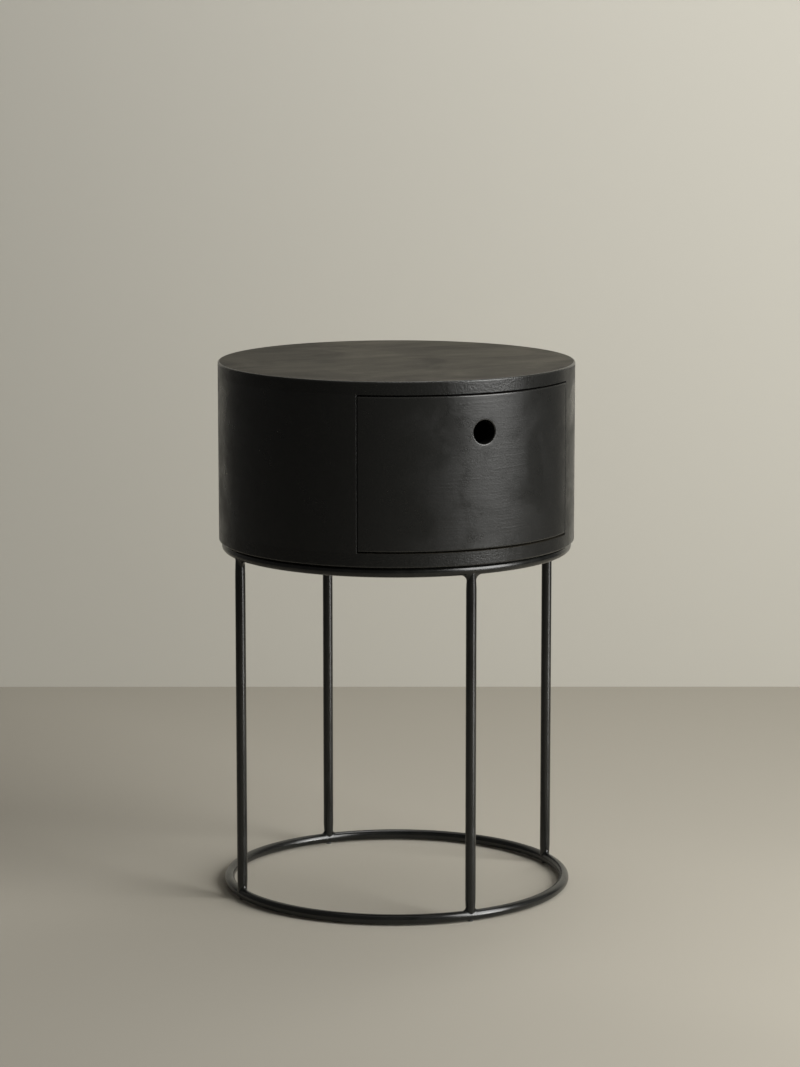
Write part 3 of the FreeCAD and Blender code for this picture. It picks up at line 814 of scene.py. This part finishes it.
@dataclass(frozen=True)
class Drawer:
    """Curved front with its finger hole, and the box behind it."""

    radius: float
    front_low: float
    front_high: float
    front_thickness: float = 0.016
    half_angle: float = math.radians(40.54)
    arris: float = 0.0016
    arris_rows: int = 4
    cell: float = 0.002
    hole_arris: float = 0.0018
    hole_radius: float = 0.01425
    hole_drop: float = 0.045
    hole_surround: float = 0.018
    board_arris: float = 0.0008
    board_arris_rows: int = 2
    scribe_gap: float = 0.0001

    @classmethod
    def from_frame(cls, radius: float) -> "Drawer":
        """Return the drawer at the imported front's place, in a drum of some radius."""
        low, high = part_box("drawer_front")
        return cls(radius, low.z, high.z)

    def _sheet_with_hole(self) -> bmesh.types.BMesh:
        """Make the front's outer skin, laid flat, with the finger hole's outline in it.

        Returns:
            The mesh.
        """
        mesh = bmesh.new()
        half_width = self.radius * self.half_angle
        half_height = (self.front_high - self.front_low) / 2
        middle = Matrix.Translation((0, 0, self.front_low + half_height))
        bmesh.ops.create_grid(mesh, x_segments=2 * round(half_width / self.cell),
                              y_segments=2 * round(half_height / self.cell), size=1.0,
                              matrix=middle @ STAND_UP @ Matrix.Diagonal((half_width, half_height, 1, 1)))
        centre = Vector((0, 0, self.front_high - self.hole_drop))
        near = [face for face in mesh.faces
                if max(abs(value) for value in face.calc_center_median() - centre) < self.hole_surround]
        border = {edge for edge in mesh.edges if edge.is_boundary}
        bmesh.ops.delete(mesh, geom=near, context="FACES")
        square = [edge for edge in mesh.edges if edge.is_boundary and edge not in border]
        rim = bmesh.ops.create_circle(mesh, radius=self.hole_radius, segments=len(square),
                                      matrix=Matrix.Translation(centre) @ STAND_UP)
        circle = {edge for vert in rim["verts"] for edge in vert.link_edges}
        bmesh.ops.bridge_loops(mesh, edges=square + list(circle))
        return mesh

    def _front(self) -> bmesh.types.BMesh:
        """Make the curved front with a straight finger hole and eased outer edges.

        Returns:
            The mesh.
        """
        mesh = self._sheet_with_hole()
        inner_radius = self.radius - self.front_thickness
        pushed = bmesh.ops.extrude_face_region(mesh, geom=mesh.faces[:])["geom"]
        inner = [item for item in pushed if isinstance(item, bmesh.types.BMVert)]
        bmesh.ops.translate(mesh, verts=inner, vec=(0, self.front_thickness, 0))
        centre = Vector((0, self.front_thickness, self.front_high - self.hole_drop))
        bore = [vert for vert in inner if (vert.co - centre).length < self.hole_radius + ON_PLANE]
        bmesh.ops.scale(mesh, verts=bore, vec=(self.radius / inner_radius, 1, 1))
        bmesh.ops.recalc_face_normals(mesh, faces=mesh.faces[:])
        outline = [edge for edge in mesh.edges if all(v.co.y < ON_PLANE for v in edge.verts)
                   and any(max(v.co.y for v in face.verts) > ON_PLANE for face in edge.link_faces)]
        mouth = [edge for edge in outline
                 if (edge.verts[0].co - centre).length < self.hole_surround + self.cell]
        ease(mesh, mouth, self.hole_arris, self.arris_rows)
        ease(mesh, [edge for edge in outline if edge.is_valid], self.arris, self.arris_rows)
        for vert in mesh.verts:
            turn, reach = vert.co.x / self.radius, self.radius - vert.co.y
            vert.co.x, vert.co.y = reach * math.sin(turn), -reach * math.cos(turn)
        return mesh

    def _board(self, node: str, scribed: bool) -> bmesh.types.BMesh:
        """Make a board of the drawer box with eased edges.

        Args:
            node: Packed board whose place it takes.
            scribed: Whether its front end follows the curved front.

        Returns:
            The mesh.
        """
        low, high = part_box(node)
        mesh = bmesh.new()
        bmesh.ops.create_cube(mesh, size=1.0, matrix=Matrix.Translation((low + high) / 2)
                              @ Matrix.Diagonal((*(high - low), 1)))
        if scribed:
            reach = self.radius - self.front_thickness - self.scribe_gap
            for vert in mesh.verts:
                if vert.co.y < low.y + ON_PLANE:
                    vert.co.y = -math.sqrt(reach ** 2 - vert.co.x ** 2)
        ease(mesh, mesh.edges[:], self.board_arris, self.board_arris_rows)
        return mesh

    def build(self, finishes: Finishes) -> None:
        """Make the front, the sides and the back.

        Args:
            finishes: The nightstand's materials.
        """
        face = Piece("drawer_face", Body.DRAWER, Slot.BLACK_WOOD, "drawer_front")
        face.hand_over(self._front(), finishes.rim)
        for side in ("left", "right"):
            node = f"drawer_side_{side}"
            board = Piece(f"drawer_board_{side}", Body.DRAWER, Slot.BOX_WOOD, node)
            board.hand_over(self._board(node, True), finishes.box_side)
        back = Piece("drawer_board_back", Body.DRAWER, Slot.BOX_WOOD, "drawer_back")
        back.hand_over(self._board("drawer_back", False), finishes.box_back)


@dataclass(frozen=True)
class RodFrame:
    """Two hoops of round bar and the four legs welded between them."""

    hoop_radius: float
    rod_radius: float
    upper: float
    lower: float
    upper_weld: float = 0.0085
    lower_weld: float = 0.0045
    turn: float = math.radians(-3.2)
    hoop_steps: int = 288
    rod_sides: int = 32
    weld_rows: int = 9
    shaft_rows: int = 4
    root_share: float = 0.35
    neck_share: float = 0.92
    shaft_lead: float = 0.008

    @classmethod
    def from_frame(cls) -> "RodFrame":
        """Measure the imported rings.

        Returns:
            The frame at their places.
        """
        upper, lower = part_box("upper_ring"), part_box("lower_ring")
        rod = (upper[1].z - upper[0].z) / 2
        return cls(upper[1].x - rod, rod, upper[1].z - rod, lower[1].z - rod)

    def _hoop(self, height: float) -> bmesh.types.BMesh:
        """Make a level hoop of round bar.

        Args:
            height: Height of the bar's middle.

        Returns:
            The mesh.
        """
        mesh = bmesh.new()
        section = bmesh.ops.create_circle(mesh, radius=self.rod_radius, segments=self.rod_sides,
                                          matrix=Matrix.Translation((self.hoop_radius, 0, height)) @ STAND_UP)
        bmesh.ops.spin(mesh, geom=section["verts"] + mesh.edges[:], cent=(0, 0, 0), axis=(0, 0, 1),
                       dvec=(0, 0, 0), angle=FULL_TURN, steps=self.hoop_steps, use_merge=True)
        return mesh

    def _weld_point(self, around: float, row: int, weld: float) -> Point:
        """Return a point of the fillet between a leg and a hoop, above the hoop's middle.

        A ball of the weld's radius that rolls round the joint touches the hoop at one end of its arc, and the
        leg's slightly narrower neck at the other.

        Args:
            around: Angle round the leg, from the hoop's own direction.
            row: Row of the fillet, from 0 on the hoop to the last on the leg.
            weld: Radius of the fillet.

        Returns:
            Place along the hoop, outwards and up.
        """
        along, outwards = math.cos(around), math.sin(around)
        leg_reach = self.rod_radius * self.neck_share + weld
        hoop_reach = self.rod_radius + weld
        rise = math.sqrt(hoop_reach ** 2 - (leg_reach * outwards) ** 2)
        ball = Vector((leg_reach * along, leg_reach * outwards, rise))
        to_hoop = Vector((0, -leg_reach * outwards, -rise)) / hoop_reach
        to_leg = Vector((-along, -outwards, 0))
        span = math.acos(to_hoop.dot(to_leg))
        share = row / self.weld_rows
        hoop_part = math.sin((1 - share) * span) / math.sin(span)
        leg_part = math.sin(share * span) / math.sin(span)
        return tuple(ball + weld * (hoop_part * to_hoop + leg_part * to_leg))

    def _end_point(self, around: float, row: int, weld: float) -> Point:
        """Return a point of a leg's end, counted in rows from its root inside the hoop.

        Args:
            around: Angle round the leg.
            row: Row from the root.
            weld: Radius of the fillet.

        Returns:
            Place along the hoop, outwards and up.
        """
        if row == 0:
            root = self.rod_radius * self.root_share
            return root * math.cos(around), root * math.sin(around), 0.0
        return self._weld_point(around, row - 1, weld)

    def _leg(self, angle: float) -> bmesh.types.BMesh:
        """Make one leg that flares into both hoops, from a cylinder that is one unit high for each row.

        Args:
            angle: Its place round the hoops, from the front towards +X.

        Returns:
            The mesh.
        """
        mesh = bmesh.new()
        end_rows = self.weld_rows + 2
        rows = 2 * end_rows + self.shaft_rows - 1
        half_step = Matrix.Rotation(math.pi / self.rod_sides, 4, "Z")
        bmesh.ops.create_cone(mesh, cap_ends=True, segments=self.rod_sides, radius1=self.rod_radius,
                              radius2=self.rod_radius, depth=rows,
                              matrix=Matrix.Translation((0, 0, rows / 2)) @ half_step)
        uprights = [edge for edge in mesh.edges if abs(edge.verts[0].co.z - edge.verts[1].co.z) > ON_PLANE]
        bmesh.ops.subdivide_edges(mesh, edges=uprights, cuts=rows - 1, use_grid_fill=True)
        shaft_low = self.lower + self.rod_radius + self.lower_weld + self.shaft_lead
        shaft_high = self.upper - self.rod_radius - self.upper_weld - self.shaft_lead
        for vert in mesh.verts:
            row = round(vert.co.z)
            around = math.atan2(vert.co.y, vert.co.x)
            if row < end_rows:
                along, outwards, rise = self._end_point(around, row, self.lower_weld)
                height = self.lower + rise
            elif row > rows - end_rows:
                along, outwards, rise = self._end_point(around, rows - row, self.upper_weld)
                height = self.upper - rise
            else:
                along, outwards = vert.co.x, vert.co.y
                share = (row - end_rows) / (self.shaft_rows - 1)
                height = shaft_low + share * (shaft_high - shaft_low)
            place = angle + along / self.hoop_radius
            reach = self.hoop_radius + outwards
            vert.co = (reach * math.sin(place), -reach * math.cos(place), height)
        return mesh

    def build(self, finishes: Finishes) -> None:
        """Make the hoops and the legs.

        Args:
            finishes: The nightstand's materials.
        """
        for name, height in (("upper", self.upper), ("lower", self.lower)):
            hoop = Piece(f"{name}_hoop", Body.CABINET, Slot.BLACK_STEEL, f"{name}_ring")
            hoop.hand_over(self._hoop(height), finishes.frame)
        for i, side in enumerate(("front", "right", "back", "left")):
            leg = Piece(f"{side}_leg", Body.CABINET, Slot.BLACK_STEEL, f"leg_{side}")
            leg.hand_over(self._leg(self.turn + i * math.pi / 2), finishes.frame)


@dataclass(frozen=True)
class Fittings:
    """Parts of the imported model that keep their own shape: boards, slides, screws, dowels, tabs and pads."""

    nodes: dict[str, bpy.types.Object]
    slides: tuple[str, ...] = ("slide_outer", "slide_middle", "slide_inner")
    cages: tuple[str, ...] = ("outer_ball_cage", "inner_ball_cage")
    screws: tuple[str, ...] = ("outer_rail_screws", "inner_rail_screws", "frame_screws")
    dowels: tuple[str, ...] = ("top_dowels", "bottom_dowels", "board_dowels", "front_dowels", "back_dowels")
    tabs: int = 4

    @staticmethod
    def _paired(*stems: str) -> list[str]:
        """Return the names of the left and right node of each stem."""
        return [f"{stem}_{side}" for stem in stems for side in ("left", "right")]

    def _by_finish(self, finishes: Finishes) -> dict[bpy.types.Material, list[str]]:
        """Sort the nodes by the material that goes on them.

        Args:
            finishes: The nightstand's materials.

        Returns:
            Node names by material.
        """
        return {
            finishes.box_side: [*self._paired("runner_board"), "drawer_bottom"],
            finishes.zinc: [*self._paired(*self.slides), *self.screws],
            finishes.cage: self._paired(*self.cages),
            finishes.ball: ["outer_balls", "inner_balls"],
            finishes.dowel: list(self.dowels),
            finishes.frame: [f"mounting_tab_{i + 1}" for i in range(self.tabs)],
            finishes.glide: ["floor_glides"],
        }

    def dress(self, finishes: Finishes) -> None:
        """Give each part its material.

        Args:
            finishes: The nightstand's materials.
        """
        for material, names in self._by_finish(finishes).items():
            for name in names:
                part = self.nodes[name]
                if not part.material_slots:
                    part.data.materials.append(material)
                for slot in part.material_slots:
                    slot.material = material
                LOG.info("%s: kept, in %s", name, material.name)


@dataclass(frozen=True)
class Lamp:
    """A soft lamp that faces a point."""

    name: str
    place: Point
    target: Point
    width: float
    height: float
    power: float
    colour: Point = (1.0, 1.0, 1.0)
    spread: float = math.pi

    def build(self) -> None:
        """Hang the lamp."""
        data = bpy.data.lights.new(self.name, "AREA")
        data.shape = "RECTANGLE"
        data.size, data.size_y, data.spread = self.width, self.height, self.spread
        data.energy, data.color = self.power, self.colour
        lamp = place_object(self.name, data)
        lamp.location = self.place
        lamp.rotation_euler = (Vector(self.target) - Vector(self.place)).to_track_quat("-Z", "Y").to_euler()


@dataclass(frozen=True)
class Studio:
    """Pale floor and wall, soft lamps and the camera."""

    azimuth: float = math.radians(-28.3)
    camera_distance: float = 4.469
    camera_height: float = 1.1854
    camera_pitch: float = math.radians(9.4264)
    camera_yaw: float = math.radians(0.056)
    lens: float = 123.18
    sensor: float = 36.0
    wall_distance: float = 1.19
    wall_width: float = 4.4
    wall_height: float = 2.6
    wall_fade: float = 1.52
    wall_reach: float = 2.1
    wall_colour: Colour = (0.53, 0.513, 0.459, 1.0)
    floor_radius: float = 2.3
    floor_sides: int = 96
    floor_fade: float = 1.6
    floor_colour: Colour = (0.385, 0.360, 0.309, 1.0)
    backdrop: Colour = (0.47, 0.455, 0.40, 1.0)
    room_tint: Colour = (1.0, 0.98, 0.94, 1.0)
    ambient: float = 0.08
    mirrored_share: float = 0.03

    def around(self, angle: float, distance: float, height: float) -> Point:
        """Return a point round the nightstand, at degrees from the camera's side towards its right."""
        turn = self.azimuth + math.radians(angle)
        return distance * math.sin(turn), -distance * math.cos(turn), height

    @staticmethod
    def _matt(name: str, colour: Colour, inner: float, outer: float) -> bpy.types.Material:
        """Make a matt material that fades away far from the nightstand and is clear from behind.

        Args:
            name: Its name.
            colour: Its colour.
            inner: Distance from the upright axis where it starts to fade.
            outer: Distance where it is clear.

        Returns:
            The material.
        """
        material = bpy.data.materials.new(name)
        graph = Graph.blank(material)
        far = graph.beyond(graph.add("ShaderNodeTexCoord").outputs["Object"], inner, outer)
        behind = graph.add("ShaderNodeNewGeometry").outputs["Backfacing"]
        unseen = graph.math("MAXIMUM", far, behind)
        matt = graph.add("ShaderNodeBsdfDiffuse", None, Color=colour).outputs["BSDF"]
        clear = graph.add("ShaderNodeBsdfTransparent").outputs["BSDF"]
        both = graph.combine("ShaderNodeMixShader", {}, unseen, matt, clear)
        graph.add("ShaderNodeOutputMaterial", None, Surface=both)
        return material

    def _build_floor_and_wall(self) -> None:
        """Lay the floor and stand the wall behind the nightstand."""
        floor = bmesh.new()
        bmesh.ops.create_circle(floor, cap_ends=True, radius=self.floor_radius, segments=self.floor_sides)
        wall = bmesh.new()
        size = Matrix.Diagonal((self.wall_width, self.wall_height, 1, 1))
        place = Matrix.Translation((0, self.wall_distance, self.wall_height / 2))
        bmesh.ops.create_grid(wall, x_segments=1, y_segments=1, size=0.5,
                              matrix=Matrix.Rotation(self.azimuth, 4, "Z") @ place @ STAND_UP @ size)
        pale_floor = self._matt("pale_floor", self.floor_colour, self.floor_fade, self.floor_radius)
        pale_wall = self._matt("pale_wall", self.wall_colour, self.wall_fade, self.wall_reach)
        settle("floor", floor, pale_floor)
        settle("wall", wall, pale_wall)

    def _build_world(self) -> None:
        """Give the room a dim even light, with a pale tone where the camera looks past the floor."""
        world = bpy.data.worlds.new("studio")
        graph = Graph.blank(world)
        rays = graph.add("ShaderNodeLightPath").outputs
        straight = graph.math("MAXIMUM", rays["Is Camera Ray"], rays["Is Transmission Ray"])
        mirrored = graph.math("MULTIPLY", rays["Is Glossy Ray"], self.mirrored_share)
        seen = graph.math("MAXIMUM", straight, mirrored)
        pale = graph.add("ShaderNodeBackground", None, Color=self.backdrop, Strength=1.0)
        dim = graph.add("ShaderNodeBackground", None, Color=self.room_tint, Strength=self.ambient)
        both = graph.combine("ShaderNodeMixShader", {}, seen, dim.outputs[0], pale.outputs[0])
        graph.add("ShaderNodeOutputWorld", None, Surface=both)
        bpy.context.scene.world = world

    def _build_lamps(self) -> None:
        """Hang a tall soft lamp and a low strip on the right, one overhead and one that washes the wall."""
        lamps = [
            Lamp("window", self.around(60.5, 2.3, 1.42), target=(0, 0, 0.6), width=1.5, height=2.0,
                 power=100.0, colour=DAYLIGHT),
            Lamp("overhead", self.around(170, 0.3, 2.7), target=(0, 0, 0), width=2.0, height=2.0, power=9.0,
                 colour=SOFT_WHITE),
            Lamp("low_strip", self.around(62, 1.15, 0.16), target=(0, 0, 0.12), width=0.7, height=0.3,
                 power=0.56, colour=DAYLIGHT, spread=math.radians(30)),
            Lamp("wall_wash", self.around(150, 0.9, 2.5), target=self.around(184, self.wall_distance, 0.6),
                 width=1.6, height=0.5, power=13.0),
        ]
        for lamp in lamps:
            lamp.build()

    def _build_camera(self) -> None:
        """Set up the camera at the photograph's viewing angle."""
        data = bpy.data.cameras.new("camera")
        data.lens, data.sensor_width = self.lens, self.sensor
        camera = place_object("camera", data)
        camera.location = self.around(0, self.camera_distance, self.camera_height)
        camera.rotation_euler = (math.pi / 2 - self.camera_pitch, 0, self.azimuth - self.camera_yaw)
        bpy.context.scene.camera = camera

    def build(self) -> None:
        """Build the whole studio."""
        self._build_floor_and_wall()
        self._build_world()
        self._build_lamps()
        self._build_camera()
        bpy.context.scene.view_settings.view_transform = "Standard"
        LOG.info("studio: floor, wall, lamps and camera")


def main() -> None:
    """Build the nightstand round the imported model."""
    logging.basicConfig(level=logging.INFO, format="%(message)s")
    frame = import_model()
    drum = Drum.from_frame()
    finishes = Finishes.build()
    drum.build(finishes)
    Drawer.from_frame(drum.radius).build(finishes)
    RodFrame.from_frame().build(finishes)
    Fittings(frame["nodes"]).dress(finishes)
    Studio().build()


if __name__ == "__main__":
    main()
